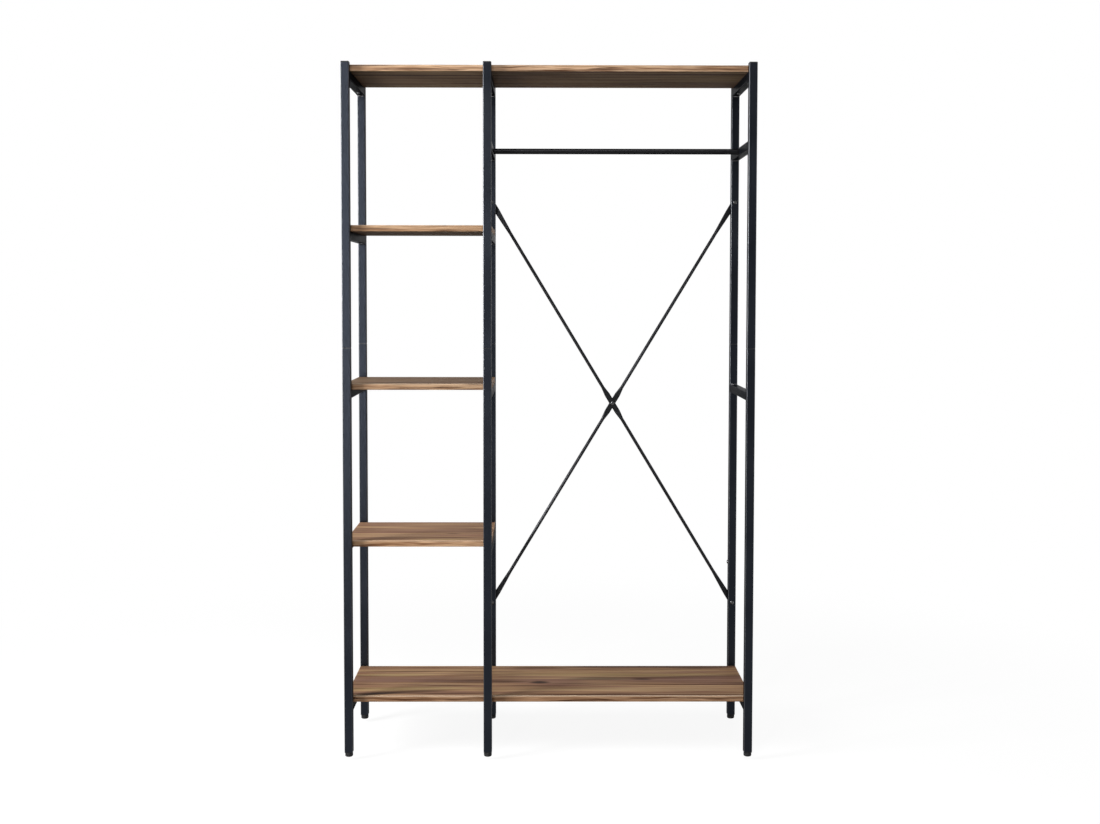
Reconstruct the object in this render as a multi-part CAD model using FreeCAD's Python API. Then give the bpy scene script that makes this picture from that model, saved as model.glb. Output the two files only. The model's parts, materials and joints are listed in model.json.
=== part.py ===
import FreeCAD, Part
import math
import os

from FreeCAD import Vector

# Open clothes rack: three ladder frames of square steel tube carry wood-faced boards,
# a hanging rail and a cross brace. Each post stands on a screw-in levelling foot.
# Millimetres: +X to the right, +Y to the back, +Z up. The origin is on the floor,
# under the middle of the whole rack.

# Whole rack
overall_width = 1065.0
overall_height = 1802.0
frame_depth = 350.0
shelf_bay_width = 363.0       # axis of the left posts to axis of the centre posts
post_proud = 6.0              # post tops above the top board
lowest_underside = 140.0      # underside of the bottom board above the floor

# Square tube of the posts and crossbars
tube_width = 21.5
tube_wall = 1.2
tube_corner = 2.0
inner_corner_share = 0.4      # of the outer corner radius

# Post sections and the joiner sleeves inside them
lower_post_length = 1055.0
seam_gap = 0.6
left_seam_gap = 2.0           # the left frame's sections stand slightly apart
seam_inset = 0.5              # joiner collar behind the faces of the tube
seam_bevel = 0.7
joiner_length = 80.0
joiner_wall = 1.6
plug_clearance = 0.15         # joiners, caps and inserts in the bore of the tube

# Post caps
cap_thickness = 3.0
cap_bevel = 1.2
cap_plug_depth = 12.0
cap_plug_wall = 1.8

# Levelling feet and the threaded inserts that hold them
foot_radius = 10.3
foot_height = 11.0
foot_round = 3.2
foot_bevel = 1.5
stud_radius = 4.0
stud_length = 21.0
stud_clearance = 0.06
insert_flange = 2.0
insert_bevel = 1.4            # lower edge of the flange
insert_depth = 24.0

# Boards and their glued edging
board_thickness = 16.0
board_front_gap = 1.5
board_back_gap = 10.5
board_end_inset = 1.5         # from the outer face of the frame
edging_thickness = 1.0
edging_round = 0.8

# Screws that hold the boards down, up through the crossbars
screw_radius = 2.0
screw_head_radius = 4.2
screw_head_height = 2.2
screw_spread = 190.0
screw_bite_share = 0.65       # of the board's thickness
screw_clearance = 0.1

# Welded tabs that carry the left end of the lower shelf
shelf_tab_length = 36.0
shelf_tab_thickness = 3.0
shelf_tab_corner = 5.0
shelf_tab_hole_inset = 11.0   # screw from the free end of the tab

# Free crossbar of the right frame
spacer_drop = 5.0             # its top below the underside of the middle shelf

# Hanging rail, its threaded end plugs and their bolts
rail_diameter = 15.0
rail_wall = 1.2
rail_drop = 188.0             # rail axis below the underside of the top board
rail_setback = 190.0          # rail axis behind the front faces of the posts
rail_plug_length = 24.0
rail_plug_clearance = 0.1
rail_bolt_bite = 16.0
access_hole_radius = 7.0

# Cross brace of two round rods, pressed flat where they are bolted
rod_diameter = 9.0
tab_width = 15.0
tab_thickness = 3.6
tab_flat = 30.0               # flat stretch beyond an end bolt
tab_taper = 70.0
crossing_flat = 28.0          # flat stretch to each side of the crossing
crossing_taper = 24.0
brace_low_rise = 195.0        # lower bolts above the underside of the bottom board
brace_high_drop = 315.0       # upper bolts below the underside of the top board
round_share = 0.49            # corner radius of a round section, of its diameter
tab_round_share = 0.3         # corner radius of a flat section, of its thickness

# Button-head bolts, washers and nuts
bolt_radius = 3.0
bolt_clearance = 0.1
bolt_head_radius = 5.8
bolt_head_height = 3.4
head_flat_share = 0.45        # flat top of a head, of its radius
head_crown_share = 0.8        # place of a head's shoulder, of its radius and its height
socket_across = 4.0
socket_depth = 1.8
bolt_tail = 0.8               # bolt end beyond its nut
nut_across = 10.0
nut_height = 5.0
washer_radius = 6.2
washer_thickness = 1.2

# Spare bolt in the inner face of the right back post
side_bolt_rise = 310.0        # above the underside of the bottom board
side_bolt_length = 12.0

# Cutting and comparing
overrun = 5.0
same_place = 0.0001

# Places worked out from the sizes above
half_tube = tube_width / 2
tube_bore = tube_width - 2 * tube_wall
plug_width = tube_bore - 2 * plug_clearance
plug_corner = tube_corner * inner_corner_share
back_stack = max(tab_thickness + washer_thickness, tab_thickness + tab_thickness / 2)
back_reach = back_stack + nut_height + bolt_tail
front_face_y = -(frame_depth + back_reach) / 2
front_post_y = front_face_y + half_tube
back_post_y = front_face_y + frame_depth - half_tube
back_face_y = back_post_y + half_tube
clear_depth = frame_depth - 2 * tube_width
crossbar_y = front_post_y + half_tube
crossbar_middle_y = crossbar_y + clear_depth / 2
screw_ys = [crossbar_middle_y - screw_spread / 2, crossbar_middle_y + screw_spread / 2]
rail_y = front_face_y + rail_setback

left_x = half_tube - overall_width / 2
centre_x = left_x + shelf_bay_width
right_x = overall_width / 2 - half_tube
post_x = {"left": left_x, "centre": centre_x, "right": right_x}
post_y = {"front": front_post_y, "back": back_post_y}

tube_foot = foot_height + insert_flange
seam_level = tube_foot + lower_post_length
tube_top = overall_height - cap_thickness
top_underside = overall_height - post_proud - board_thickness
board_levels = ["bottom", "lower_shelf", "middle_shelf", "upper_shelf", "top"]
level_step = (top_underside - lowest_underside) / (len(board_levels) - 1)
underside = {name: lowest_underside + step * level_step for step, name in enumerate(board_levels)}
rail_level = top_underside - rail_drop
brace_low = lowest_underside + brace_low_rise
brace_high = top_underside - brace_high_drop
side_bolt_level = lowest_underside + side_bolt_rise

crossbar_top = dict(underside)
crossbar_top["rail"] = rail_level + half_tube
crossbar_top["spacer"] = underside["middle_shelf"] - spacer_drop
frame_crossbars = {
    "left": ["top", "upper_shelf", "middle_shelf", "bottom"],
    "centre": ["top", "rail", "upper_shelf", "middle_shelf", "lower_shelf", "bottom"],
    "right": ["top", "rail", "spacer", "bottom"],
}

board_front_y = crossbar_y + board_front_gap
board_depth = clear_depth - board_front_gap - board_back_gap
board_left_x = left_x - half_tube + board_end_inset
long_board_end_x = right_x + half_tube - board_end_inset
short_board_end_x = centre_x + half_tube - board_end_inset
board_nodes = {
    "top": "top_board",
    "upper_shelf": "upper_shelf",
    "middle_shelf": "middle_shelf",
    "lower_shelf": "lower_shelf",
    "bottom": "bottom_board",
}
long_boards = ["top", "bottom"]
tab_level = "lower_shelf"
tab_frame = "left"
tab_roots = {"front": (crossbar_y, 1), "back": (crossbar_y + clear_depth, -1)}
screw_bite = board_thickness * screw_bite_share

origin = Vector(0, 0, 0)
along_x = Vector(1, 0, 0)
along_y = Vector(0, 1, 0)
along_z = Vector(0, 0, 1)
quarter_turn = 90
full_turn = 360


def export(node, solids):
    """Write one node: a single solid, or a group of separate ones."""
    shape = solids[0] if len(solids) == 1 else Part.makeCompound(solids)
    shape.exportStep("parts/" + node + ".step")


def rounded_wire(width, depth, corner):
    """Outline of a rectangle with round corners, in the XY plane about the origin."""
    arcs = []
    for quarter, (side_x, side_y) in enumerate([(1, 1), (-1, 1), (-1, -1), (1, -1)]):
        middle = Vector(side_x * (width / 2 - corner), side_y * (depth / 2 - corner), 0)
        start = quarter_turn * quarter
        arcs.append(Part.makeCircle(corner, middle, along_z, start, start + quarter_turn))
    edges = []
    for arc, following in zip(arcs, arcs[1:] + arcs[:1]):
        edges.append(arc)
        edges.append(Part.makeLine(arc.Vertexes[-1].Point, following.Vertexes[0].Point))
    return Part.Wire(edges)


def prism(width, corner, height):
    """Square prism with round corners, up the Z axis from the origin."""
    return Part.Face(rounded_wire(width, width, corner)).extrude(along_z * height)


def edges_at(solid, level):
    """Edges of a solid that lie in the level plane at this height."""
    found = []
    for edge in solid.Edges:
        box = edge.BoundBox
        if box.ZLength < same_place and abs(box.ZMin - level) < same_place:
            found.append(edge)
    return found


def rod(radius, start, direction, length):
    """Plain cylinder, for a pin or a drill."""
    return Part.makeCylinder(radius, length, start, direction)


def square_tube(length, bevelled_ends=()):
    """Square tube up the Z axis, with the outer edges bevelled at the named end heights."""
    outer = prism(tube_width, tube_corner, length)
    for level in bevelled_ends:
        outer = outer.makeChamfer(seam_bevel, edges_at(outer, level))
    return outer.cut(prism(tube_bore, plug_corner, length))


def post_drills(frame, side):
    """Drills through one post: the brace bolts' holes and the side bolt's."""
    drills = []
    if side == "back" and frame != "left":
        start_y = back_post_y - half_tube - overrun
        for level in (brace_low, brace_high):
            start = Vector(post_x[frame], start_y, level)
            drills.append(rod(bolt_radius + bolt_clearance, start, along_y, tube_width + 2 * overrun))
    if side == "back" and frame == "right":
        start = Vector(right_x - half_tube - overrun, back_post_y, side_bolt_level)
        drills.append(rod(bolt_radius + bolt_clearance, start, along_x, overrun + half_tube))
    return drills


def post_sections(frame, side):
    """Lower and upper section of one post, with the seam between them."""
    gap = left_seam_gap if frame == "left" else seam_gap
    base = Vector(post_x[frame], post_y[side], tube_foot)
    upper_base = Vector(post_x[frame], post_y[side], seam_level + gap)
    upper_length = tube_top - seam_level - gap
    lower = square_tube(lower_post_length, [lower_post_length]).translated(base)
    upper = square_tube(upper_length, [0]).translated(upper_base)
    for drill in post_drills(frame, side):
        lower = lower.cut(drill)
        upper = upper.cut(drill)
    return lower, upper


def joiner(frame, side):
    """Sleeve inside both sections of a post, with the collar that shows at the seam."""
    gap = left_seam_gap if frame == "left" else seam_gap
    collar_width = tube_width - 2 * seam_inset
    sleeve = prism(plug_width, plug_corner, joiner_length)
    collar = prism(collar_width, tube_corner - seam_inset, gap)
    collar.translate(along_z * ((joiner_length - gap) / 2))
    bore = prism(plug_width - 2 * joiner_wall, plug_corner, joiner_length)
    base_level = seam_level + gap / 2 - joiner_length / 2
    return sleeve.fuse(collar).cut(bore).translated(Vector(post_x[frame], post_y[side], base_level))


def post_cap(frame, side):
    """Bevelled cap with a hollow plug that sits in the top of the tube."""
    plate = prism(tube_width, tube_corner, cap_thickness)
    plate = plate.makeChamfer(cap_bevel, edges_at(plate, cap_thickness))
    plug = prism(plug_width, plug_corner, cap_plug_depth)
    plug = plug.cut(prism(plug_width - 2 * cap_plug_wall, plug_corner, cap_plug_depth))
    plug.translate(along_z * -cap_plug_depth)
    return plate.fuse(plug).translated(Vector(post_x[frame], post_y[side], tube_top))


def foot_insert(frame, side):
    """Flanged plug in the foot of a post, bored for the stud of the levelling foot."""
    flange = prism(tube_width, tube_corner, insert_flange)
    flange = flange.makeChamfer(insert_bevel, edges_at(flange, 0))
    plug = prism(plug_width, plug_corner, insert_flange + insert_depth)
    bore = rod(stud_radius + stud_clearance, origin, along_z, insert_flange + insert_depth)
    solid = flange.fuse(plug).cut(bore)
    return solid.translated(Vector(post_x[frame], post_y[side], foot_height))


def levelling_foot(frame, side):
    """Round foot with a rolled lower edge and its stud, turned about the post axis."""
    rim = foot_radius - foot_round
    rolled = foot_round * math.sqrt(1 / 2)
    edges = [
        Part.makeLine(origin, Vector(rim, 0, 0)),
        Part.Arc(
            Vector(rim, 0, 0),
            Vector(rim + rolled, 0, foot_round - rolled),
            Vector(foot_radius, 0, foot_round),
        ).toShape(),
    ]
    corners = [
        Vector(foot_radius, 0, foot_round),
        Vector(foot_radius, 0, foot_height - foot_bevel),
        Vector(foot_radius - foot_bevel, 0, foot_height),
        Vector(stud_radius, 0, foot_height),
        Vector(stud_radius, 0, foot_height + stud_length),
        Vector(0, 0, foot_height + stud_length),
        origin,
    ]
    for start, end in zip(corners, corners[1:]):
        edges.append(Part.makeLine(start, end))
    solid = Part.Face(Part.Wire(edges)).revolve(origin, along_z, full_turn)
    return solid.translated(Vector(post_x[frame], post_y[side], 0))


def crossbar(frame, level):
    """Tube from the front post to the back post, drilled for what it carries."""
    middle = crossbar_top[level] - half_tube
    place = Vector(post_x[frame], crossbar_y, middle)
    solid = square_tube(clear_depth).rotated(origin, along_x, -quarter_turn).translated(place)
    if level in board_nodes:
        for place_y in screw_ys:
            start = Vector(post_x[frame], place_y, middle - half_tube - overrun)
            drill = rod(screw_radius + screw_clearance, start, along_z, tube_width + 2 * overrun)
            solid = solid.cut(drill)
    if level == "rail":
        towards_rail = along_x if frame == "centre" else -along_x
        middle_point = Vector(post_x[frame], rail_y, rail_level)
        solid = solid.cut(rod(bolt_radius + bolt_clearance, middle_point, towards_rail, tube_width))
        solid = solid.cut(rod(access_hole_radius, middle_point, -towards_rail, tube_width))
    return solid


def shelf_tab(side):
    """Flat tab on the inner face of a post, under the end of the lower shelf."""
    root_y, inwards = tab_roots[side]
    reach = 2 * shelf_tab_length
    outline = Part.Face(rounded_wire(tube_width, reach, shelf_tab_corner))
    plate = outline.extrude(along_z * shelf_tab_thickness)
    half = Part.makeBox(tube_width, shelf_tab_length, shelf_tab_thickness, Vector(-half_tube, 0, 0))
    plate = plate.common(half)
    start = Vector(0, shelf_tab_length - shelf_tab_hole_inset, 0)
    plate = plate.cut(rod(screw_radius + screw_clearance, start, along_z, shelf_tab_thickness))
    if inwards < 0:
        plate.rotate(origin, along_z, 2 * quarter_turn)
    return plate.translated(Vector(post_x[tab_frame], root_y, underside[tab_level] - shelf_tab_thickness))


def screw_seats(level):
    """Places under a board that hold a screw: X, Y and the thickness that the screw goes through."""
    seats = []
    for frame in frame_crossbars:
        if level in frame_crossbars[frame]:
            for place_y in screw_ys:
                seats.append((post_x[frame], place_y, tube_width))
    if level == tab_level:
        for root_y, inwards in tab_roots.values():
            place_y = root_y + inwards * (shelf_tab_length - shelf_tab_hole_inset)
            seats.append((post_x[tab_frame], place_y, shelf_tab_thickness))
    return seats


def board_span(level):
    """X places of the two ends of a board."""
    end = long_board_end_x if level in long_boards else short_board_end_x
    return board_left_x, end


def board_core(level):
    """Faced board inside its edging, with blind holes for the screws below it."""
    start_x, end_x = board_span(level)
    length = end_x - start_x - 2 * edging_thickness
    depth = board_depth - 2 * edging_thickness
    corner = Vector(start_x + edging_thickness, board_front_y + edging_thickness, underside[level])
    solid = Part.makeBox(length, depth, board_thickness, corner)
    hole_depth = overrun + screw_bite + screw_radius
    for place_x, place_y, _ in screw_seats(level):
        start = Vector(place_x, place_y, underside[level] - overrun)
        solid = solid.cut(rod(screw_radius + screw_clearance, start, along_z, hole_depth))
    return solid


def edging_strip(length):
    """Strip along X with its outer face at the XZ plane and its outer edges rounded."""
    strip = Part.makeBox(length, edging_thickness, board_thickness, Vector(-length / 2, 0, 0))
    outer = []
    for edge in strip.Edges:
        if edge.BoundBox.YMax < same_place and edge.BoundBox.ZLength < same_place:
            outer.append(edge)
    return strip.makeFillet(edging_round, outer)


def board_edging(level):
    """Four strips round a board: full-length front and back ones, and the ends between them."""
    start_x, end_x = board_span(level)
    middle_x = (start_x + end_x) / 2
    middle_y = board_front_y + board_depth / 2
    back_y = board_front_y + board_depth
    long_strip = edging_strip(end_x - start_x)
    end_strip = edging_strip(board_depth - 2 * edging_thickness)
    base = underside[level]
    return [
        long_strip.translated(Vector(middle_x, board_front_y, base)),
        long_strip.rotated(origin, along_z, 2 * quarter_turn).translated(Vector(middle_x, back_y, base)),
        end_strip.rotated(origin, along_z, -quarter_turn).translated(Vector(start_x, middle_y, base)),
        end_strip.rotated(origin, along_z, quarter_turn).translated(Vector(end_x, middle_y, base)),
    ]


def headed_screw(shank_radius, length, head_radius, head_height):
    """Domed head in front of the origin and a shank along +Y, turned about the Y axis."""
    flat = head_radius * head_flat_share
    shoulder = Vector(head_radius * head_crown_share, -head_height * head_crown_share, 0)
    dome = Part.Arc(Vector(head_radius, 0, 0), shoulder, Vector(flat, -head_height, 0)).toShape()
    corners = [
        Vector(flat, -head_height, 0),
        Vector(0, -head_height, 0),
        Vector(0, length, 0),
        Vector(shank_radius, length, 0),
        Vector(shank_radius, 0, 0),
        Vector(head_radius, 0, 0),
    ]
    edges = [dome]
    for start, end in zip(corners, corners[1:]):
        edges.append(Part.makeLine(start, end))
    return Part.Face(Part.Wire(edges)).revolve(origin, along_y, full_turn)


def hex_prism(across, height):
    """Hexagonal prism along +Y from the origin."""
    reach = across / math.sqrt(3)
    points = []
    for corner in range(7):
        turn = math.radians(full_turn / 6 * corner)
        points.append(Vector(reach * math.cos(turn), 0, reach * math.sin(turn)))
    return Part.Face(Part.makePolygon(points)).extrude(along_y * height)


def button_bolt(length):
    """Button-head bolt along +Y with a hexagon socket in its head."""
    solid = headed_screw(bolt_radius, length, bolt_head_radius, bolt_head_height)
    socket = hex_prism(socket_across, socket_depth).translated(along_y * -bolt_head_height)
    return solid.cut(socket)


def nut():
    """Hexagon nut along +Y."""
    bore = rod(bolt_radius + bolt_clearance, origin, along_y, nut_height)
    return hex_prism(nut_across, nut_height).cut(bore)


def washer():
    """Plain washer along +Y."""
    bore = rod(bolt_radius + bolt_clearance, origin, along_y, washer_thickness)
    return rod(washer_radius, origin, along_y, washer_thickness).cut(bore)


def board_screws():
    """All screws that hold the boards down, heads under the crossbars and tabs."""
    solids = []
    for level in board_levels:
        for place_x, place_y, thickness in screw_seats(level):
            screw = headed_screw(screw_radius, thickness + screw_bite, screw_head_radius, screw_head_height)
            screw.rotate(origin, along_x, quarter_turn)
            solids.append(screw.translated(Vector(place_x, place_y, underside[level] - thickness)))
    return solids


def rail_assembly():
    """Rail tube, the threaded plugs in its ends and the bolts inside the crossbars."""
    start = Vector(centre_x + half_tube, rail_y, rail_level)
    end = Vector(right_x - half_tube, rail_y, rail_level)
    length = end.x - start.x
    bore_radius = rail_diameter / 2 - rail_wall
    tube = rod(rail_diameter / 2, start, along_x, length).cut(rod(bore_radius, start, along_x, length))
    plugs = []
    bolts = []
    bolt = button_bolt(tube_wall + rail_bolt_bite)
    for end_point, inwards in ((start, along_x), (end, -along_x)):
        plug = rod(bore_radius - rail_plug_clearance, end_point, inwards, rail_plug_length)
        plugs.append(plug.cut(rod(bolt_radius + bolt_clearance, end_point, inwards, rail_plug_length)))
        seat = end_point - inwards * tube_wall
        bolts.append(bolt.rotated(origin, along_z, -quarter_turn * inwards.x).translated(seat))
    return tube, plugs, bolts


def rod_section(place, width, thickness, corner, offset):
    """Cross-section of a brace rod, square to X at this place along it."""
    wire = rounded_wire(thickness, width, corner)
    wire.Placement = FreeCAD.Placement(Vector(place, offset, 0), FreeCAD.Rotation(Vector(1, 1, 1), 120))
    return wire


def round_section(place, offset):
    """Round part of a brace rod."""
    return rod_section(place, rod_diameter, rod_diameter, rod_diameter * round_share, offset)


def flat_section(place, offset):
    """Pressed part of a brace rod."""
    return rod_section(place, tab_width, tab_thickness, tab_thickness * tab_round_share, offset)


def rounded_tab(place):
    """Half-round end of a brace rod, about its bolt."""
    start = Vector(place, -tab_thickness / 2, 0)
    disc = rod(tab_width / 2, start, along_y, tab_thickness)
    rims = [edge for edge in disc.Edges if edge.BoundBox.YLength < same_place]
    return disc.makeFillet(tab_thickness * tab_round_share, rims)


def brace_rod(start_level, end_level, crossing_offset):
    """Round rod pressed flat at both ends and where it lies against the other rod."""
    run = right_x - centre_x
    rise = end_level - start_level
    length = math.hypot(run, rise)
    middle = length / 2
    taper_end = tab_flat + tab_taper
    crossing_reach = crossing_flat + crossing_taper
    sections = [
        flat_section(0, 0),
        flat_section(tab_flat, 0),
        round_section(taper_end, 0),
        round_section(middle - crossing_reach, crossing_offset),
        flat_section(middle - crossing_flat, crossing_offset),
        flat_section(middle + crossing_flat, crossing_offset),
        round_section(middle + crossing_reach, crossing_offset),
        round_section(length - taper_end, 0),
        flat_section(length - tab_flat, 0),
        flat_section(length, 0),
    ]
    solid = Part.makeLoft(sections, True, True)
    solid = solid.fuse(rounded_tab(0)).fuse(rounded_tab(length)).removeSplitter()
    for place in (0, middle, length):
        start = Vector(place, -rod_diameter, 0)
        solid = solid.cut(rod(bolt_radius + bolt_clearance, start, along_y, 2 * rod_diameter))
    turn = -math.degrees(math.atan2(rise, run))
    tab_y = back_face_y + tab_thickness / 2
    return solid.rotated(origin, along_y, turn).translated(Vector(centre_x, tab_y, start_level))


def brace_fasteners():
    """Bolts through the back posts and the brace tabs, with washers and nuts behind them."""
    bolts = []
    washers = []
    nuts = []
    bolt = button_bolt(tube_width + tab_thickness + washer_thickness + nut_height + bolt_tail)
    washer_y = back_face_y + tab_thickness
    for place_x in (centre_x, right_x):
        for level in (brace_low, brace_high):
            bolts.append(bolt.translated(Vector(place_x, back_post_y - half_tube, level)))
            washers.append(washer().translated(Vector(place_x, washer_y, level)))
            nuts.append(nut().translated(Vector(place_x, washer_y + washer_thickness, level)))
    return bolts, washers, nuts


def brace_pivot():
    """Bolt and nut through both rods where they cross."""
    crossing_x = (centre_x + right_x) / 2
    crossing_level = (brace_low + brace_high) / 2
    front_y = back_face_y - tab_thickness / 2
    bolt = button_bolt(2 * tab_thickness + nut_height + bolt_tail)
    bolt.translate(Vector(crossing_x, front_y, crossing_level))
    pivot_nut = nut().translated(Vector(crossing_x, front_y + 2 * tab_thickness, crossing_level))
    return bolt, pivot_nut


def side_bolt():
    """Spare bolt in the inner face of the right back post."""
    bolt = button_bolt(side_bolt_length).rotated(origin, along_z, -quarter_turn)
    return bolt.translated(Vector(right_x - half_tube, back_post_y, side_bolt_level))


def build_frames():
    """Posts, crossbars, caps, joiners, inserts and feet of the three ladder frames."""
    caps = []
    joiners = []
    inserts = []
    for frame in frame_crossbars:
        for side in post_y:
            lower, upper = post_sections(frame, side)
            export(frame + "_" + side + "_post_lower", [lower])
            export(frame + "_" + side + "_post_upper", [upper])
            export(frame + "_" + side + "_foot", [levelling_foot(frame, side)])
            caps.append(post_cap(frame, side))
            joiners.append(joiner(frame, side))
            inserts.append(foot_insert(frame, side))
        for level in frame_crossbars[frame]:
            export(frame + "_" + level + "_crossbar", [crossbar(frame, level)])
    export("post_caps", caps)
    export("post_joiners", joiners)
    export("foot_inserts", inserts)


def build_boards():
    """Boards, their edging, the screws that hold them down and the tabs under one end."""
    for level, node in board_nodes.items():
        export(node, [board_core(level)])
        export(node + "_edging", board_edging(level))
    export("board_screws", board_screws())
    export("lower_shelf_tabs", [shelf_tab(side) for side in tab_roots])


def build_rail():
    """Hanging rail and its fixings."""
    tube, plugs, bolts = rail_assembly()
    export("hanging_rail", [tube])
    export("rail_plugs", plugs)
    export("rail_bolts", bolts)


def build_brace():
    """Cross brace, its fasteners and the spare bolt above it."""
    export("falling_brace_rod", [brace_rod(brace_high, brace_low, -tab_thickness / 2)])
    export("rising_brace_rod", [brace_rod(brace_low, brace_high, tab_thickness / 2)])
    bolts, washers, nuts = brace_fasteners()
    export("brace_bolts", bolts)
    export("brace_washers", washers)
    export("brace_nuts", nuts)
    pivot_bolt, pivot_nut = brace_pivot()
    export("brace_pivot_bolt", [pivot_bolt])
    export("brace_pivot_nut", [pivot_nut])
    export("side_bolt", [side_bolt()])


os.makedirs("parts", exist_ok=True)
build_frames()
build_boards()
build_rail()
build_brace()
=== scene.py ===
import json
import math

import bmesh
import bpy
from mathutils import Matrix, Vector


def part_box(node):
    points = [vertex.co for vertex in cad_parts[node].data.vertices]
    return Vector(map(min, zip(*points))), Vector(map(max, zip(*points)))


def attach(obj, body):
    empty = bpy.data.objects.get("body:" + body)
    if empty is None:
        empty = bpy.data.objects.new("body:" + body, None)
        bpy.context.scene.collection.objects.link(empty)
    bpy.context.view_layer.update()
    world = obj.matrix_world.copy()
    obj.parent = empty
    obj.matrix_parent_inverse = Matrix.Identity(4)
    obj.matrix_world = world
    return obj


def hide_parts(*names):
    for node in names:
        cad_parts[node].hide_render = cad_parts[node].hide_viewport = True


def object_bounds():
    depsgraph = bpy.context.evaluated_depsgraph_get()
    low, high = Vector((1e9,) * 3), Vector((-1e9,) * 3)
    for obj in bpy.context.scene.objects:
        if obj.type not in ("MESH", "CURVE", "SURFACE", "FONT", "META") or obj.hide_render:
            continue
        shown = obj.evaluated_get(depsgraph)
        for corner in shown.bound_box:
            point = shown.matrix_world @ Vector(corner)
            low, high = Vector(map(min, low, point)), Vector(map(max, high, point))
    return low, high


# Looks of an open clothes rack: black square-tube frames, walnut-faced boards, a hanging
# rail and a rod cross brace. Metres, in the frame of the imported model.

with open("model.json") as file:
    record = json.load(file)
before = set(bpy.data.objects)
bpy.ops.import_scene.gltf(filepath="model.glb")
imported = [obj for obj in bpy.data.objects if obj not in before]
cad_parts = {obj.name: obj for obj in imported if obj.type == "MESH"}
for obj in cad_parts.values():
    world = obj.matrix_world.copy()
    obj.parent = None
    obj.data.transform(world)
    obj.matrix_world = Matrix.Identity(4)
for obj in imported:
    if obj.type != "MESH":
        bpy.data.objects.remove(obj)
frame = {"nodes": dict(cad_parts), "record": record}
cad_low, cad_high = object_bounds()

# Camera: turns in degrees, lens and sensor in millimetres, shift in picture widths
camera_place = (-0.0188, -3.7965, 1.2130)
camera_pitch = 2.855
camera_roll = -0.066
camera_yaw = -0.339
camera_lens = 45.985
sensor_width = 36.0
camera_shift = -0.045

# Lamps: name, place, width, height and power in watts, and the point that they all face
lamps = [
    ("key_softbox", (-2.28, -1.19, 1.55), 0.8, 1.3, 70.0),
    ("top_softbox", (0.0, -2.7, 3.9), 1.8, 1.8, 48.0),
    ("left_strip", (-1.5, -4.6, 1.4), 0.3, 3.0, 36.0),
    ("right_strip", (2.2, -1.5, 1.1), 0.25, 1.8, 4.0),
]
lamp_target = (0.0, 0.0, 0.9)

# World: the dark studio that gloss shows, its bright sides and back with the directions where they
# fade in, and the level of the diffuse light
studio_dark = 0.2
studio_left = 1.0
studio_right = 0.4
studio_back = 1.0
side_fade = (0.7, 0.9)
back_fade = (0.3, 0.8)
diffuse_level = 0.16
backdrop_tone = (1.0, 1.0, 1.0)

# Floor: below the reach of the feet at their lowest, with a shadow that fades out away from the rack
floor_drop = 0.0105
floor_radius = 14.0
floor_segments = 64
floor_tone = (0.16, 0.16, 0.16)
floor_glow = 0.91
floor_white = 1.0
floor_bounce = (0.10, 0.10, 0.10)
floor_gloss = 0.35
shadow_fade = (0.9, 2.4)

# Span that holds most of a noise, and its middle
noise_span = (0.3, 0.7)
noise_middle = 0.5

# Powder coats: dark and light tone, tone of the painted highlight on the corners, tone of the rim that
# shows at a flat angle, roughness
dark_rim = (0.05, 0.05, 0.056)
rod_rim = (0.40, 0.41, 0.43)
coat_looks = {
    "black_powder_coat": ((0.026, 0.03, 0.04), (0.042, 0.048, 0.062), (0.17, 0.175, 0.187), dark_rim, 0.32),
    "black_rail_coat": ((0.018, 0.018, 0.02), (0.031, 0.031, 0.034), (0.031, 0.031, 0.034), dark_rim, 0.4),
    "black_rod_coat": ((0.032, 0.033, 0.036), (0.05, 0.051, 0.055), (0.05, 0.051, 0.055), rod_rim, 0.3),
    "black_weld_coat": ((0.09, 0.09, 0.095), (0.14, 0.14, 0.148), (0.16, 0.16, 0.168), dark_rim, 0.18),
}
coat_tone_span = (0.3, 0.72)
coat_cloud_scale = 7.0
coat_grain_scale = 1100.0
coat_grain_share = 0.45
coat_grain_height = 0.00012
coat_grain_bump = 0.25
coat_peel_scale = 420.0
coat_peel_height = 0.0002
coat_peel_bump = 0.3
coat_roughness_swing = 0.04
coat_metallic = 0.85
coat_specular = 0.02

# Painted highlight on the corners: the largest part of the normal where the lighter tone starts and
# where it is full, and the share of it that the clouds leave
corner_normal = (0.985, 0.93)
corner_highlight_share = (0.6, 1.0)

# Other hard materials: dark and light tone, scales of their noise, roughness and relief
plastic_tones = ((0.010, 0.010, 0.011), (0.018, 0.018, 0.020))
plastic_cloud_scale = 60.0
plastic_grain_scale = 2600.0
plastic_roughness = (0.42, 0.56)
plastic_bump = 0.3
plated_tones = ((0.060, 0.061, 0.066), (0.100, 0.102, 0.106))
plated_haze_scale = 90.0
plated_spangle_scale = 260.0
plated_spangle_span = (0.1, 0.7)
plated_roughness = (0.3, 0.5)
plated_bump = 0.15
oxide_tones = ((0.140, 0.141, 0.145), (0.220, 0.222, 0.227))
oxide_haze_scale = 300.0
oxide_roughness = (0.12, 0.2)
oxide_bump = 0.1
hard_relief = 0.0001

# Figure of the walnut: scale along and across the grain, detail and roughness of each part's noise
figure = {
    "bands": (0.75, 22.0, 4.0, 0.55),
    "sheen": (1.3, 46.0, 2.0, 0.5),
    "cluster": (1.9, 14.0, 1.0, 0.5),
    "streak": (1.15, 62.0, 3.0, 0.55),
    "line": (3.4, 240.0, 2.0, 0.55),
    "pores": (38.0, 1300.0, 2.0, 0.6),
}

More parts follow.
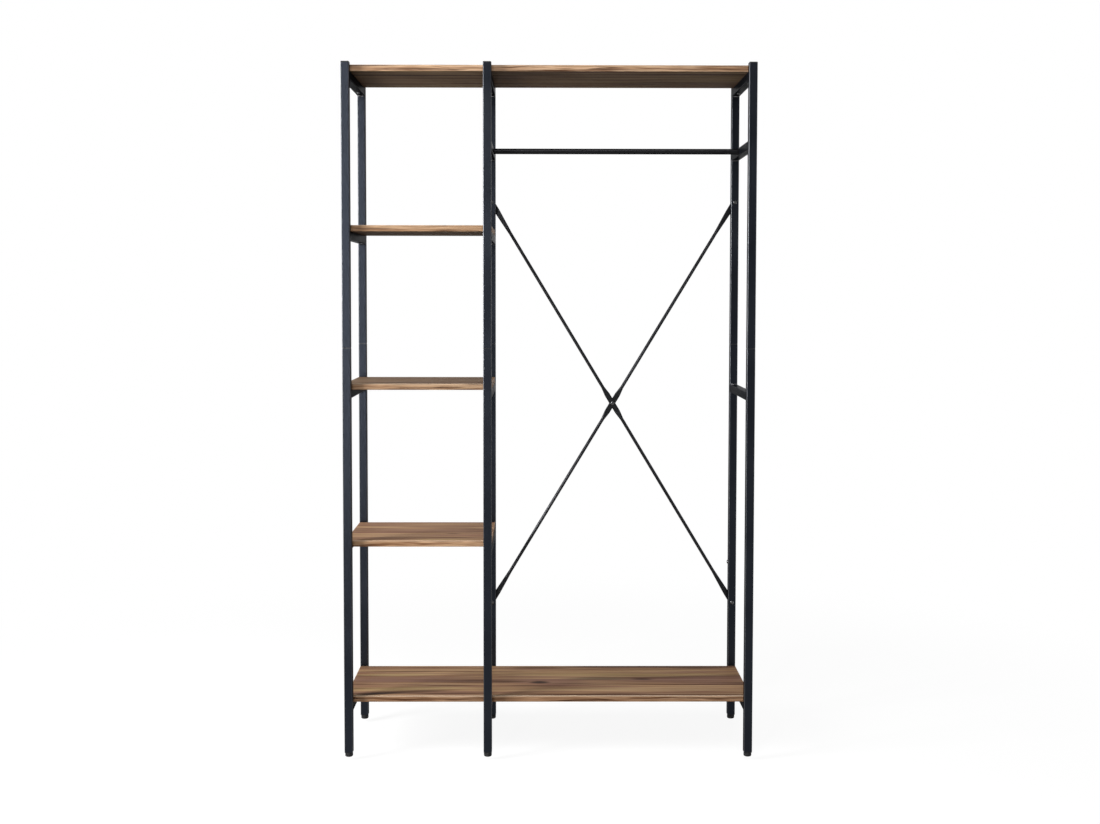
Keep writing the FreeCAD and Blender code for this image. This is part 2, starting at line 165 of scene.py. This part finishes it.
# Where each part shows: the noise at which it starts and is full, and its least and greatest strength
figure_span = {
    "sheen": (0.50, 0.62, 0.0, 0.6),
    "cluster": (0.40, 0.62),
    "streak": (0.52, 0.62, 0.0, 1.0),
    "line": (0.44, 0.60, 0.0, 0.55),
    "pores": (0.55, 0.75, 0.0, 0.3),
}
figure_depth_share = 0.5
seed_steps = (3.7, 1.9, 5.3)
wave_along = 2.2
wave_across = 6.0
wave_reach = 0.022
pore_relief = -0.7
line_relief = -0.3
wood_relief = 0.00012

# Tones of the boards' faces before their tint: bands by their place, and the range of the streaks
face_tones = {
    "bands": [
        (0.30, (0.115, 0.063, 0.037)),
        (0.40, (0.225, 0.128, 0.080)),
        (0.47, (0.450, 0.290, 0.162)),
        (0.54, (0.265, 0.146, 0.098)),
        (0.62, (0.520, 0.350, 0.188)),
        (0.70, (0.200, 0.117, 0.068)),
    ],
    "pale": (0.580, 0.398, 0.222),
    "streak": (0.080, 0.043, 0.026),
    "streak_range": (0.15, 0.9),
    "line": (0.60, 0.53, 0.47),
}
face_roughness = (0.58, 0.72)
face_specular = 0.05
face_bump = 0.35

# Tones of the edging strips, whose figure is finer, and the depths where the painted highlight along the
# arris starts and is full
edge_tones = {
    "bands": [
        (0.30, (0.130, 0.064, 0.033)),
        (0.39, (0.280, 0.158, 0.087)),
        (0.47, (0.580, 0.378, 0.232)),
        (0.54, (0.340, 0.196, 0.110)),
        (0.62, (0.740, 0.510, 0.335)),
        (0.70, (0.240, 0.126, 0.067)),
    ],
    "pale": (0.700, 0.495, 0.325),
    "streak": (0.090, 0.042, 0.022),
    "streak_range": (0.45, 1.0),
    "line": (0.45, 0.36, 0.30),
}
edge_along = 4.0
edge_across = 3.4
edge_roughness = (0.5, 0.64)
edge_specular = 0.15
edge_bump = 0.3
end_strip_normal = 0.7
# Pale tone of the painted highlight along the upper arris of the edging
arris_highlight_tone = (0.820, 0.620, 0.440)
arris_start = 0.0028
arris_full = 0.0010

# Boards from the top down: seed and tint of the faces, then of the edging, and how strong the painted
# highlight along its arris is
board_looks = [
    ("top_board", 1, (0.86, 0.90, 0.96), 51, (1.16, 1.14, 1.12), 0.35),
    ("upper_shelf", 2, (0.72, 0.76, 0.82), 52, (0.98, 0.94, 0.89), 0.35),
    ("middle_shelf", 3, (0.72, 0.73, 0.78), 33, (1.02, 1.00, 0.97), 0.5),
    ("lower_shelf", 4, (1.12, 1.05, 1.09), 44, (0.98, 0.89, 0.81), 0.6),
    ("bottom_board", 5, (0.97, 0.90, 0.91), 25, (0.97, 0.87, 0.80), 1.0),
]

# Flecks in the boards' faces: their tones, how ragged their rim is, where it fades in, and a depth
# that goes right through the board
fleck_tones = {
    "mauve": (0.250, 0.136, 0.100),
    "rose": (0.385, 0.222, 0.145),
    "olive": (0.500, 0.352, 0.170),
    "light": (0.520, 0.350, 0.200),
    "brown": (0.130, 0.068, 0.040),
    "dark": (0.045, 0.024, 0.016),
    "green": (0.150, 0.112, 0.066),
}
fleck_ragged = (-0.2, 0.2)
fleck_fade = (1.1, 0.3)
fleck_depth = 100.0

# Flecks: tone, middle X and Y, half length, half width, turn in degrees, strength
board_flecks = {
    "lower_shelf": [
        ("rose", -0.330, 0.002, 0.300, 0.036, 0.0, 0.90),
        ("brown", -0.330, -0.112, 0.260, 0.022, 0.0, 0.50),
        ("brown", -0.401, -0.134, 0.090, 0.010, 2.0, 0.85),
        ("brown", -0.248, -0.115, 0.075, 0.006, 0.0, 0.70),
        ("olive", -0.275, -0.138, 0.110, 0.013, 0.0, 0.60),
        ("brown", -0.256, -0.053, 0.024, 0.009, 0.0, 0.60),
        ("brown", -0.458, 0.027, 0.070, 0.006, 0.0, 0.50),
        ("brown", -0.208, 0.025, 0.034, 0.007, 0.0, 0.60),
        ("mauve", -0.300, 0.060, 0.140, 0.030, 0.0, 0.50),
    ],
    "bottom_board": [
        ("mauve", -0.400, -0.004, 0.270, 0.034, 0.0, 0.85),
        ("mauve", 0.400, -0.004, 0.270, 0.036, 0.0, 0.85),
        ("mauve", -0.030, -0.020, 0.160, 0.026, 0.0, 0.70),
        ("olive", 0.200, 0.050, 0.420, 0.020, 0.0, 0.70),
        ("olive", -0.420, 0.045, 0.140, 0.020, 0.0, 0.60),
        ("light", 0.250, -0.098, 0.330, 0.018, 0.0, 0.60),
        ("olive", -0.380, -0.095, 0.220, 0.026, 4.0, 0.60),
        ("green", 0.140, 0.010, 0.110, 0.018, 0.0, 0.70),
        ("dark", 0.256, 0.008, 0.036, 0.010, 0.0, 0.90),
        ("dark", -0.024, -0.030, 0.030, 0.017, 0.0, 1.00),
        ("brown", -0.104, -0.022, 0.060, 0.012, 0.0, 0.90),
        ("brown", -0.385, -0.126, 0.180, 0.018, 9.0, 0.95),
        ("dark", -0.450, -0.142, 0.085, 0.011, 10.0, 0.95),
        ("brown", -0.270, -0.063, 0.110, 0.008, 0.0, 0.80),
        ("brown", -0.040, -0.066, 0.120, 0.009, 0.0, 0.90),
        ("brown", 0.090, -0.146, 0.240, 0.012, 0.0, 0.95),
        ("brown", -0.030, 0.118, 0.110, 0.014, 0.0, 0.80),
        ("brown", 0.430, 0.116, 0.110, 0.014, 0.0, 0.90),
        ("brown", -0.400, 0.080, 0.160, 0.008, 0.0, 0.80),
    ],
}

# Weld beads where the crossbars meet the posts
weld_leg = 0.0026
weld_side_inset = 0.0016
weld_root = 0.0003
weld_ripples = 9
weld_ripple_depth = 0.22
weld_steps_per_ripple = 4
weld_arc_steps = 6
weld_end_power = 0.25
weld_end_share = 0.35

# Levelling feet: base and threaded stud
foot_radius = 0.0103
foot_height = 0.011
foot_round = 0.0032
foot_round_steps = 8
foot_bevel = 0.0015
foot_groove = 0.0004
foot_turns = 48
stud_major = 0.00396
stud_minor = 0.00335
stud_pitch = 0.00125
stud_chamfer = 0.001
stud_chamfer_slope = 0.8
stud_turn_steps = 24
stud_rows_per_pitch = 6

# Angle in degrees above which an edge of a detail piece stays sharp
crease_angle = 40.0

# First input, second input and output of a mix node, by what it mixes
mix_sockets = {"VECTOR": (4, 5, 1), "RGBA": (6, 7, 2)}


def rgba(tone):
    return (*tone, 1.0)


class Graph:
    """Short calls for building one node tree."""

    def __init__(self, tree):
        self.tree = tree
        tree.nodes.clear()

    def feed(self, socket, value):
        """Link another socket to this one, or set its value."""
        if isinstance(value, bpy.types.NodeSocket):
            self.tree.links.new(value, socket)
        else:
            socket.default_value = value

    def add(self, kind, inputs=None, **settings):
        node = self.tree.nodes.new(kind)
        for name, value in settings.items():
            setattr(node, name, value)
        for name, value in (inputs or {}).items():
            self.feed(node.inputs[name], value)
        return node

    def math(self, operation, first, second=0.0):
        return self.add("ShaderNodeMath", {0: first, 1: second}, operation=operation).outputs[0]

    def largest(self, first, *others):
        for other in others:
            first = self.math("MAXIMUM", first, other)
        return first

    def vector_math(self, operation, first, second=(0.0, 0.0, 0.0)):
        return self.add("ShaderNodeVectorMath", {0: first, 1: second}, operation=operation).outputs

    def split(self, vector):
        return self.add("ShaderNodeSeparateXYZ", {0: vector}).outputs

    def join(self, x=0.0, y=0.0, z=0.0):
        return self.add("ShaderNodeCombineXYZ", {0: x, 1: y, 2: z}).outputs[0]

    def spread(self, value, low, high, to_low=0.0, to_high=1.0):
        """Map a range of values to another, smoothly and clamped."""
        inputs = {0: value, 1: low, 2: high, 3: to_low, 4: to_high}
        return self.add("ShaderNodeMapRange", inputs, interpolation_type="SMOOTHSTEP").outputs[0]

    def mix(self, factor, first, second, blend="MIX", kind="RGBA"):
        first_input, second_input, output = mix_sockets[kind]
        inputs = {0: factor, first_input: first, second_input: second}
        return self.add("ShaderNodeMix", inputs, data_type=kind, blend_type=blend).outputs[output]

    def ramp(self, factor, stops):
        """Colour from a list of places and tones."""
        node = self.add("ShaderNodeValToRGB", {0: factor})
        elements = node.color_ramp.elements
        while len(elements) < len(stops):
            elements.new(1.0)
        for element, (place, tone) in zip(elements, stops):
            element.position = place
            element.color = rgba(tone)
        return node.outputs[0]

    def stretch(self, vector, scale, offset):
        inputs = {"Vector": vector, "Scale": scale, "Location": offset}
        return self.add("ShaderNodeMapping", inputs).outputs[0]

    def noise(self, vector, scale=1.0, detail=2.0, roughness=0.5):
        inputs = {"Vector": vector, "Scale": scale, "Detail": detail, "Roughness": roughness}
        return self.add("ShaderNodeTexNoise", inputs).outputs[0]

    def bump(self, height, distance, strength, normal=None):
        inputs = {"Height": height, "Distance": distance, "Strength": strength}
        if normal is not None:
            inputs["Normal"] = normal
        return self.add("ShaderNodeBump", inputs).outputs[0]

    def normal(self):
        return self.add("ShaderNodeNewGeometry").outputs["Normal"]

    def add_output(self, kind, surface):
        self.add(kind, {"Surface": surface})


def new_material(name):
    """Empty material with its graph, object coordinates and the sockets of a principled surface."""
    material = bpy.data.materials.new(name)
    material.use_nodes = True
    graph = Graph(material.node_tree)
    coords = graph.add("ShaderNodeTexCoord").outputs["Object"]
    surface = graph.add("ShaderNodeBsdfPrincipled")
    graph.add_output("ShaderNodeOutputMaterial", surface.outputs[0])
    return material, graph, coords, surface.inputs


# Powder coat of the tubes, the rail, the brace and the welds
def powder_coat(name):
    """Satin black coat: partly metallic, with a painted highlight in a lighter tone along its corners."""
    dark, light, corner_highlight_tone, rim, roughness = coat_looks[name]
    material, graph, coords, surface = new_material(name)
    cloud = graph.noise(coords, coat_cloud_scale, detail=3.0)
    grain = graph.noise(coords, coat_grain_scale, roughness=0.6)
    peel = graph.noise(coords, coat_peel_scale, detail=1.0)
    grain_tone = graph.math("MULTIPLY", grain, coat_grain_share)
    tone = graph.math("ADD", grain_tone, graph.math("MULTIPLY", cloud, 1 - coat_grain_share))
    colour = graph.ramp(tone, list(zip(coat_tone_span, (dark, light))))
    # Painted highlight: a lighter, more reflective tone on the corners draws their bright lines, broken up
    # by the clouds
    squareness = graph.largest(*graph.split(graph.vector_math("ABSOLUTE", graph.normal())[0]))
    corner = graph.spread(squareness, *corner_normal)
    corner_highlight = graph.math("MULTIPLY", corner, graph.spread(cloud, *noise_span, *corner_highlight_share))
    graph.feed(surface["Base Color"], graph.mix(corner_highlight, colour, rgba(corner_highlight_tone)))
    roughness_range = (roughness - coat_roughness_swing, roughness + coat_roughness_swing)
    graph.feed(surface["Roughness"], graph.spread(cloud, *noise_span, *roughness_range))
    graph.feed(surface["Metallic"], coat_metallic)
    graph.feed(surface["Specular IOR Level"], coat_specular)
    graph.feed(surface["Specular Tint"], rgba(rim))
    coarse = graph.bump(peel, coat_peel_height, coat_peel_bump)
    graph.feed(surface["Normal"], graph.bump(grain, coat_grain_height, coat_grain_bump, coarse))
    return material


# Wood facing and edging
def along_strip(graph, coords):
    """Coordinates whose X runs along an edging strip, also on the strips across the ends."""
    x, y, z = graph.split(coords)
    sideways = graph.math("ABSOLUTE", graph.split(graph.normal())[0])
    across = graph.math("GREATER_THAN", sideways, end_strip_normal)
    return graph.mix(across, graph.join(x, z, y), graph.join(y, z, x), kind="VECTOR")


def tinted(tone, tint):
    return tuple(part * share for part, share in zip(tone, tint))


def walnut(graph, coords, seed, tones, tint, along=1.0, across=1.0, flecks=()):
    """Colour, relief and lines of sliced walnut with its grain along X."""
    shift = tuple(seed * step for step in seed_steps)
    wave = graph.noise(graph.stretch(coords, (wave_along * along, wave_across, wave_across), shift))
    bend = graph.math("MULTIPLY", graph.math("SUBTRACT", wave, noise_middle), wave_reach / across)
    path = graph.vector_math("ADD", coords, graph.join(y=bend))[0]
    parts = {}
    for name, (length_scale, width_scale, detail, roughness) in figure.items():
        scale = (length_scale * along, width_scale * across, width_scale * figure_depth_share)
        parts[name] = graph.noise(graph.stretch(path, scale, shift), 1.0, detail, roughness)
    bands = [(place, tinted(tone, tint)) for place, tone in tones["bands"]]
    colour = graph.ramp(parts["bands"], bands)
    sheen = graph.spread(parts["sheen"], *figure_span["sheen"])
    colour = graph.mix(sheen, colour, rgba(tinted(tones["pale"], tint)))
    cluster = graph.spread(parts["cluster"], *figure_span["cluster"], *tones["streak_range"])
    streak = graph.math("MULTIPLY", graph.spread(parts["streak"], *figure_span["streak"]), cluster)
    colour = graph.mix(streak, colour, rgba(tinted(tones["streak"], tint)))
    for fleck in flecks:
        colour = add_fleck(graph, path, parts["line"], colour, *fleck)
    for name in ("line", "pores"):
        strength = graph.spread(parts[name], *figure_span[name])
        colour = graph.mix(strength, colour, rgba(tones["line"]), "MULTIPLY")
    pore_height = graph.math("MULTIPLY", parts["pores"], pore_relief)
    relief = graph.math("ADD", pore_height, graph.math("MULTIPLY", parts["line"], line_relief))
    return colour, relief, parts["line"]


def add_fleck(graph, path, line, colour, tone, middle_x, middle_y, half_length, half_width, turn, strength):
    """Blend a long soft fleck of another tone into a colour."""
    inputs = {
        "Vector": path,
        "Location": (middle_x, middle_y, 0.0),
        "Rotation": (0.0, 0.0, math.radians(turn)),
        "Scale": (half_length, half_width, fleck_depth),
    }
    inside = graph.add("ShaderNodeMapping", inputs, vector_type="TEXTURE").outputs[0]
    reach = graph.vector_math("LENGTH", inside)["Value"]
    ragged = graph.math("ADD", reach, graph.spread(line, *noise_span, *fleck_ragged))
    share = graph.spread(ragged, *fleck_fade, 0.0, strength)
    return graph.mix(share, colour, rgba(fleck_tones[tone]))


def board_walnut(name, seed, tint, flecks):
    material, graph, coords, surface = new_material(name)
    colour, relief, line = walnut(graph, coords, seed, face_tones, tint, flecks=flecks)
    graph.feed(surface["Base Color"], colour)
    graph.feed(surface["Roughness"], graph.spread(line, *noise_span, *face_roughness))
    graph.feed(surface["Specular IOR Level"], face_specular)
    graph.feed(surface["Normal"], graph.bump(relief, wood_relief, face_bump))
    return material


def edging_walnut(name, seed, tint, top_level, arris_highlight_strength):
    """Strip walnut, with a painted highlight in a pale tone along its rounded upper arris."""
    material, graph, coords, surface = new_material(name)
    strip_coords = along_strip(graph, coords)
    colour, relief, line = walnut(graph, strip_coords, seed, edge_tones, tint, edge_along, edge_across)
    height = graph.split(coords)[2]
    # Painted highlight: a pale band over the top few millimetres of the strip, where the rounded arris
    # catches the light
    arris = graph.spread(height, top_level - arris_start, top_level - arris_full, 0.0, arris_highlight_strength)
    graph.feed(surface["Base Color"], graph.mix(arris, colour, rgba(arris_highlight_tone)))
    graph.feed(surface["Roughness"], graph.spread(line, *noise_span, *edge_roughness))
    graph.feed(surface["Specular IOR Level"], edge_specular)
    graph.feed(surface["Normal"], graph.bump(relief, wood_relief, edge_bump))
    return material


# Plastic, plated steel and blackened fasteners
def moulded_plastic(name):
    material, graph, coords, surface = new_material(name)
    grain = graph.noise(coords, plastic_grain_scale, detail=1.0)
    cloud = graph.noise(coords, plastic_cloud_scale)
    graph.feed(surface["Base Color"], graph.ramp(cloud, list(zip(noise_span, plastic_tones))))
    graph.feed(surface["Roughness"], graph.spread(cloud, *noise_span, *plastic_roughness))
    graph.feed(surface["Normal"], graph.bump(grain, hard_relief, plastic_bump))
    return material


def plated_steel(name):
    material, graph, coords, surface = new_material(name)
    inputs = {"Vector": coords, "Scale": plated_spangle_scale}
    spangle = graph.add("ShaderNodeTexVoronoi", inputs).outputs["Distance"]
    haze = graph.noise(coords, plated_haze_scale, detail=3.0)
    graph.feed(surface["Base Color"], graph.ramp(haze, list(zip(noise_span, plated_tones))))
    graph.feed(surface["Metallic"], 1.0)
    graph.feed(surface["Roughness"], graph.spread(spangle, *plated_spangle_span, *plated_roughness))
    graph.feed(surface["Normal"], graph.bump(haze, hard_relief, plated_bump))
    return material


def black_oxide(name):
    material, graph, coords, surface = new_material(name)
    haze = graph.noise(coords, oxide_haze_scale, detail=3.0)
    graph.feed(surface["Base Color"], graph.ramp(haze, list(zip(noise_span, oxide_tones))))
    graph.feed(surface["Metallic"], 1.0)
    graph.feed(surface["Roughness"], graph.spread(haze, *noise_span, *oxide_roughness))
    graph.feed(surface["Normal"], graph.bump(haze, hard_relief, oxide_bump))
    return material


# Meshes of the detail pieces
def new_piece(name, mesh_data, material, body):
    """Object from a filled bmesh, shaded smooth below the crease angle, riding on a body."""
    mesh = bpy.data.meshes.new(name)
    bmesh.ops.recalc_face_normals(mesh_data, faces=mesh_data.faces)
    mesh_data.to_mesh(mesh)
    mesh_data.free()
    piece = bpy.data.objects.new(name, mesh)
    bpy.context.scene.collection.objects.link(piece)
    mesh.materials.append(material)
    mesh.shade_smooth()
    mesh.set_sharp_from_angle(angle=math.radians(crease_angle))
    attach(piece, body)
    return piece


def skin_rings(mesh_data, rings):
    """Faces between closed rows of vertices with equal counts, and over both ends."""
    for lower, upper in zip(rings, rings[1:]):
        count = len(lower)
        for step in range(count):
            following = (step + 1) % count
            mesh_data.faces.new((lower[step], lower[following], upper[following], upper[step]))
    mesh_data.faces.new(rings[0])
    mesh_data.faces.new(rings[-1])


def turned_ring(mesh_data, middle, height, radii):
    """Row of vertices round an upright axis, one for each radius."""
    ring = []
    for step, radius in enumerate(radii):
        turn = 2 * math.pi * step / len(radii)
        place = (middle.x + radius * math.cos(turn), middle.y + radius * math.sin(turn), height)
        ring.append(mesh_data.verts.new(place))
    return ring


def weld_bead(mesh_data, corner_y, corner_z, out_y, out_z, start_x, end_x):
    """Rippled fillet along X in the corner between a post and a crossbar."""
    steps = weld_ripples * weld_steps_per_ripple
    rings = []
    for step in range(steps + 1):
        share = step / steps
        ripple = abs(math.sin(math.pi * weld_ripples * share))
        swell = math.sin(math.pi * share) ** weld_end_power if 0 < step < steps else weld_end_share
        reach = weld_leg * swell * (1 - weld_ripple_depth * (1 - ripple))
        place_x = start_x + (end_x - start_x) * share
        root = (place_x, corner_y - out_y * weld_root, corner_z - out_z * weld_root)
        ring = [mesh_data.verts.new(root)]
        for arc in range(weld_arc_steps + 1):
            turn = math.pi / 2 * arc / weld_arc_steps
            place_y = corner_y + out_y * reach * math.cos(turn)
            place_z = corner_z + out_z * reach * math.sin(turn)
            ring.append(mesh_data.verts.new((place_x, place_y, place_z)))
        rings.append(ring)
    skin_rings(mesh_data, rings)


def frame_welds(side, material):
    """All the beads of one ladder frame, under each crossbar and over the free ones."""
    mesh_data = bmesh.new()
    for node in frame["nodes"]:
        if not (node.startswith(side + "_") and node.endswith("_crossbar")):
            continue
        low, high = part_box(node)
        levels = [(low.z, -1)]
        if node.endswith(("_rail_crossbar", "_spacer_crossbar")):
            levels.append((high.z, 1))
        for level, out_z in levels:
            for place_y, out_y in ((low.y, 1), (high.y, -1)):
                start_x = low.x + weld_side_inset
                end_x = high.x - weld_side_inset
                weld_bead(mesh_data, place_y, level, out_y, out_z, start_x, end_x)
    new_piece(side + "_frame_welds", mesh_data, material, "rack")


def foot_profile():
    """Radius and height along the base's outline, from the edge of its flat sole to the stud."""
    points = []
    rim = foot_radius - foot_round
    for step in range(foot_round_steps + 1):
        turn = math.pi / 2 * step / foot_round_steps
        points.append((rim + foot_round * math.sin(turn), foot_round * (1 - math.cos(turn))))
    groove = foot_round + foot_groove
    points.append((foot_radius, groove))
    points.append((foot_radius - foot_groove, groove + foot_groove))
    points.append((foot_radius, groove + 2 * foot_groove))
    points.append((foot_radius, foot_height - foot_bevel))
    points.append((foot_radius - foot_bevel, foot_height))
    points.append((stud_minor, foot_height))
    return points


def foot_base(name, node, body, material):
    """Turned base of a levelling foot."""
    low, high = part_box(node)
    middle = (low + high) / 2
    mesh_data = bmesh.new()
    rings = []
    for radius, height in foot_profile():
        rings.append(turned_ring(mesh_data, middle, low.z + height, [radius] * foot_turns))
    skin_rings(mesh_data, rings)
    piece = new_piece(name, mesh_data, material, body)
    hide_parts(node)


def foot_stud(name, node, body, material):
    """Threaded stud of a levelling foot, up from its base."""
    low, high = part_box(node)
    middle = (low + high) / 2
    start = low.z + foot_height
    length = high.z - start
    rows = round(length / stud_pitch * stud_rows_per_pitch)
    mesh_data = bmesh.new()
    rings = []
    for row in range(rows + 1):
        height = length * row / rows
        limit = stud_major - max(0.0, height - length + stud_chamfer) * stud_chamfer_slope
        radii = []
        for step in range(stud_turn_steps):
            phase = (height / stud_pitch - step / stud_turn_steps) % 1.0
            crest = 1 - abs(2 * phase - 1)
            radii.append(min(limit, stud_minor + (stud_major - stud_minor) * crest))
        rings.append(turned_ring(mesh_data, middle, start + height, radii))
    skin_rings(mesh_data, rings)
    new_piece(name, mesh_data, material, body)


# Stage
def build_camera():
    data = bpy.data.cameras.new("camera")
    data.lens = camera_lens
    data.sensor_width = sensor_width
    data.shift_y = camera_shift
    camera = bpy.data.objects.new("camera", data)
    camera.location = camera_place
    turns = (90 - camera_pitch, camera_roll, camera_yaw)
    camera.rotation_euler = [math.radians(turn) for turn in turns]
    bpy.context.scene.collection.objects.link(camera)
    bpy.context.scene.camera = camera


def area_light(name, place, width, height, power):
    data = bpy.data.lights.new(name, "AREA")
    data.shape = "RECTANGLE"
    data.size = width
    data.size_y = height
    data.energy = power
    light = bpy.data.objects.new(name, data)
    light.location = place
    aim = Vector(lamp_target) - Vector(place)
    light.rotation_euler = aim.to_track_quat("-Z", "Y").to_euler()
    bpy.context.scene.collection.objects.link(light)


def build_world():
    """White backdrop in view, a dark studio with bright sides in gloss, and a soft diffuse level."""
    world = bpy.data.worlds.new("studio")
    bpy.context.scene.world = world
    world.use_nodes = True
    graph = Graph(world.node_tree)
    direction = graph.split(graph.add("ShaderNodeTexCoord").outputs["Generated"])
    sideways = direction[0]
    backwards = direction[1]
    left = graph.spread(graph.math("MULTIPLY", sideways, -1.0), *side_fade, studio_dark, studio_left)
    right = graph.spread(sideways, *side_fade, studio_dark, studio_right)
    back = graph.spread(backwards, *back_fade, studio_dark, studio_back)
    rays = graph.add("ShaderNodeLightPath").outputs
    gloss = graph.math("MULTIPLY", rays["Is Glossy Ray"], graph.largest(left, right, back))
    diffuse = graph.math("MULTIPLY", rays["Is Diffuse Ray"], diffuse_level)
    strength = graph.largest(gloss, rays["Is Camera Ray"], rays["Is Transmission Ray"], diffuse)
    inputs = {"Color": rgba(backdrop_tone), "Strength": strength}
    background = graph.add("ShaderNodeBackground", inputs)
    graph.add_output("ShaderNodeOutputWorld", background.outputs[0])


def floor_material():
    """Pale floor: white in view, with the shadow near the rack, and a weaker bounce."""
    material = bpy.data.materials.new("pale_floor")
    material.use_nodes = True
    graph = Graph(material.node_tree)
    coords = graph.add("ShaderNodeTexCoord").outputs["Object"]
    away = graph.spread(graph.vector_math("LENGTH", coords)["Value"], *shadow_fade)
    shade = graph.add("ShaderNodeBsdfDiffuse", {"Color": rgba(floor_tone)})
    glow = graph.add("ShaderNodeEmission", {"Strength": floor_glow})
    near = graph.add("ShaderNodeAddShader", {0: shade.outputs[0], 1: glow.outputs[0]})
    far = graph.add("ShaderNodeEmission", {"Strength": floor_white})
    view = graph.add("ShaderNodeMixShader", {0: away, 1: near.outputs[0], 2: far.outputs[0]})
    bounce = graph.add("ShaderNodeBsdfDiffuse", {"Color": rgba(floor_bounce)})
    rays = graph.add("ShaderNodeLightPath").outputs
    gloss = graph.math("MULTIPLY", rays["Is Glossy Ray"], floor_gloss)
    seen = graph.largest(rays["Is Camera Ray"], rays["Is Transmission Ray"], gloss)
    mixed = graph.add("ShaderNodeMixShader", {0: seen, 1: bounce.outputs[0], 2: view.outputs[0]})
    graph.add_output("ShaderNodeOutputMaterial", mixed.outputs[0])
    return material


def build_floor():
    mesh_data = bmesh.new()
    bmesh.ops.create_circle(mesh_data, cap_ends=True, segments=floor_segments, radius=floor_radius)
    mesh = bpy.data.meshes.new("floor")
    mesh_data.to_mesh(mesh)
    mesh_data.free()
    floor = bpy.data.objects.new("floor", mesh)
    floor.location = (0.0, 0.0, cad_low.z - floor_drop)
    bpy.context.scene.collection.objects.link(floor)
    mesh.materials.append(floor_material())


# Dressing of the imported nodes
def set_material(node, material):
    slots = frame["nodes"][node].data.materials
    slots.clear()
    slots.append(material)


def dress_boards():
    """Walnut of its own for each board and for its edging."""
    for board, face_seed, face_tint, edge_seed, edge_tint, arris_highlight_strength in board_looks:
        flecks = board_flecks.get(board, [])
        set_material(board, board_walnut(board + "_walnut", face_seed, face_tint, flecks))
        edging = board + "_edging"
        top_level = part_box(edging)[1].z
        set_material(edging, edging_walnut(edging + "_walnut", edge_seed, edge_tint, top_level, arris_highlight_strength))


def dress_slots(slot_materials):
    """The other nodes by their slot, and coats of their own for the rail and the brace."""
    for subpart in frame["record"]["subparts"]:
        if subpart["material_slot"] in slot_materials:
            set_material(subpart["node"], slot_materials[subpart["material_slot"]])
    set_material("hanging_rail", powder_coat("black_rail_coat"))
    rod_coat = powder_coat("black_rod_coat")
    for node in ("falling_brace_rod", "rising_brace_rod"):
        set_material(node, rod_coat)


def build_details(slot_materials):
    """Weld beads of each frame, and the base and stud of each foot."""
    bead_coat = powder_coat("black_weld_coat")
    for side in ("left", "centre", "right"):
        frame_welds(side, bead_coat)
        for end in ("front", "back"):
            node = side + "_" + end + "_foot"
            foot_base(node + "_base", node, node + "_body", slot_materials["black_plastic"])
            foot_stud(node + "_stud", node, node + "_body", slot_materials["zinc_steel"])


bpy.context.scene.view_settings.view_transform = "Standard"
build_camera()
for lamp in lamps:
    area_light(*lamp)
build_world()
build_floor()
dress_boards()
slot_materials = {
    "black_powder_coat": powder_coat("black_powder_coat"),
    "black_plastic": moulded_plastic("black_plastic"),
    "zinc_steel": plated_steel("zinc_steel"),
    "black_hardware": black_oxide("black_hardware"),
}
dress_slots(slot_materials)
build_details(slot_materials)
